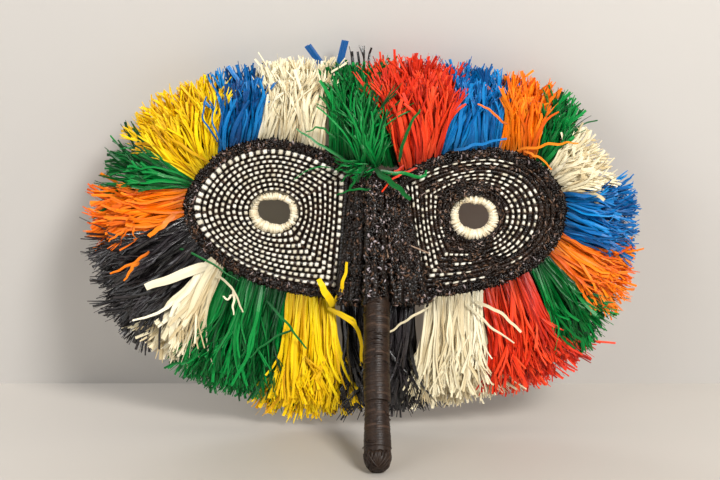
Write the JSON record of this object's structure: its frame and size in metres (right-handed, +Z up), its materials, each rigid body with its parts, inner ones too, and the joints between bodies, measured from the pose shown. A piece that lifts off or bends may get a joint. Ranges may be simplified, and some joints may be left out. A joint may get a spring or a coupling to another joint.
{
  "type": "hand-held mask",
  "caption": "Hand-held fan mask of coiled plant fibre: two stitched eye panels with eye holes, a raised nose ridge, a multicoloured trimmed raffia fringe and a wound handle.",
  "frame": {"origin": "centre of the handle's upper winding, on its axis", "axes": "+Z up, +X to the viewer's right along the mask's width, -Y towards the viewer; the mask's plane is vertical"},
  "size_m": [0.306, 0.0896, 0.2187],
  "materials": {
    "stick_wood": "matt",
    "dark_winding": "satin",
    "black_fibre": "satin",
    "panel_fibre": "matt",
    "white_fibre": "matt",
    "raffia_cream": "satin",
    "raffia_blue": "satin",
    "raffia_yellow": "satin",
    "raffia_green": "satin",
    "raffia_orange": "satin",
    "raffia_black": "satin",
    "raffia_red": "satin"
  },
  "bodies": {
    "root": {"handle_core": "stick_wood", "handle_upper_winding": "dark_winding", "handle_lower_winding": "dark_winding", "handle_end_cap": "dark_winding", "nose_web": "black_fibre", "nose_crest": "black_fibre", "nose_left_flank": "black_fibre", "nose_right_flank": "black_fibre", "left_panel": "panel_fibre", "right_panel": "panel_fibre", "left_rim": "black_fibre", "right_rim": "black_fibre", "left_eye_ring": "white_fibre", "right_eye_ring": "white_fibre", "left_fringe_cord": "black_fibre", "right_fringe_cord": "black_fibre", "top_blue_strips": "raffia_blue", "front_tuft_top_green": "raffia_green", "front_tuft_l1_cream": "raffia_cream", "front_tuft_l2_blue": "raffia_blue", "front_tuft_l3_yellow": "raffia_yellow", "front_tuft_l4_green": "raffia_green", "front_tuft_l5_orange": "raffia_orange", "front_tuft_l6_black": "raffia_black", "front_tuft_l7_cream": "raffia_cream", "front_tuft_l8_green": "raffia_green", "front_tuft_l9_yellow": "raffia_yellow", "front_tuft_bottom_black": "raffia_black", "front_tuft_r1_red": "raffia_red", "front_tuft_r2_blue": "raffia_blue", "front_tuft_r3_orange": "raffia_orange", "front_tuft_r4_green": "raffia_green", "front_tuft_r5_cream": "raffia_cream", "front_tuft_r6_blue": "raffia_blue", "front_tuft_r7_orange": "raffia_orange", "front_tuft_r8_green": "raffia_green", "front_tuft_r9_red": "raffia_red", "front_tuft_r10_cream": "raffia_cream", "back_tuft_top_green": "raffia_green", "back_tuft_l1_cream": "raffia_cream", "back_tuft_l2_blue": "raffia_blue", "back_tuft_l3_yellow": "raffia_yellow", "back_tuft_l4_green": "raffia_green", "back_tuft_l5_orange": "raffia_orange", "back_tuft_l6_black": "raffia_black", "back_tuft_l7_cream": "raffia_cream", "back_tuft_l8_green": "raffia_green", "back_tuft_l9_yellow": "raffia_yellow", "back_tuft_bottom_black": "raffia_black", "back_tuft_r1_red": "raffia_red", "back_tuft_r2_blue": "raffia_blue", "back_tuft_r3_orange": "raffia_orange", "back_tuft_r4_green": "raffia_green", "back_tuft_r5_cream": "raffia_cream", "back_tuft_r6_blue": "raffia_blue", "back_tuft_r7_orange": "raffia_orange", "back_tuft_r8_green": "raffia_green", "back_tuft_r9_red": "raffia_red", "back_tuft_r10_cream": "raffia_cream"}
  },
  "joints": []
}
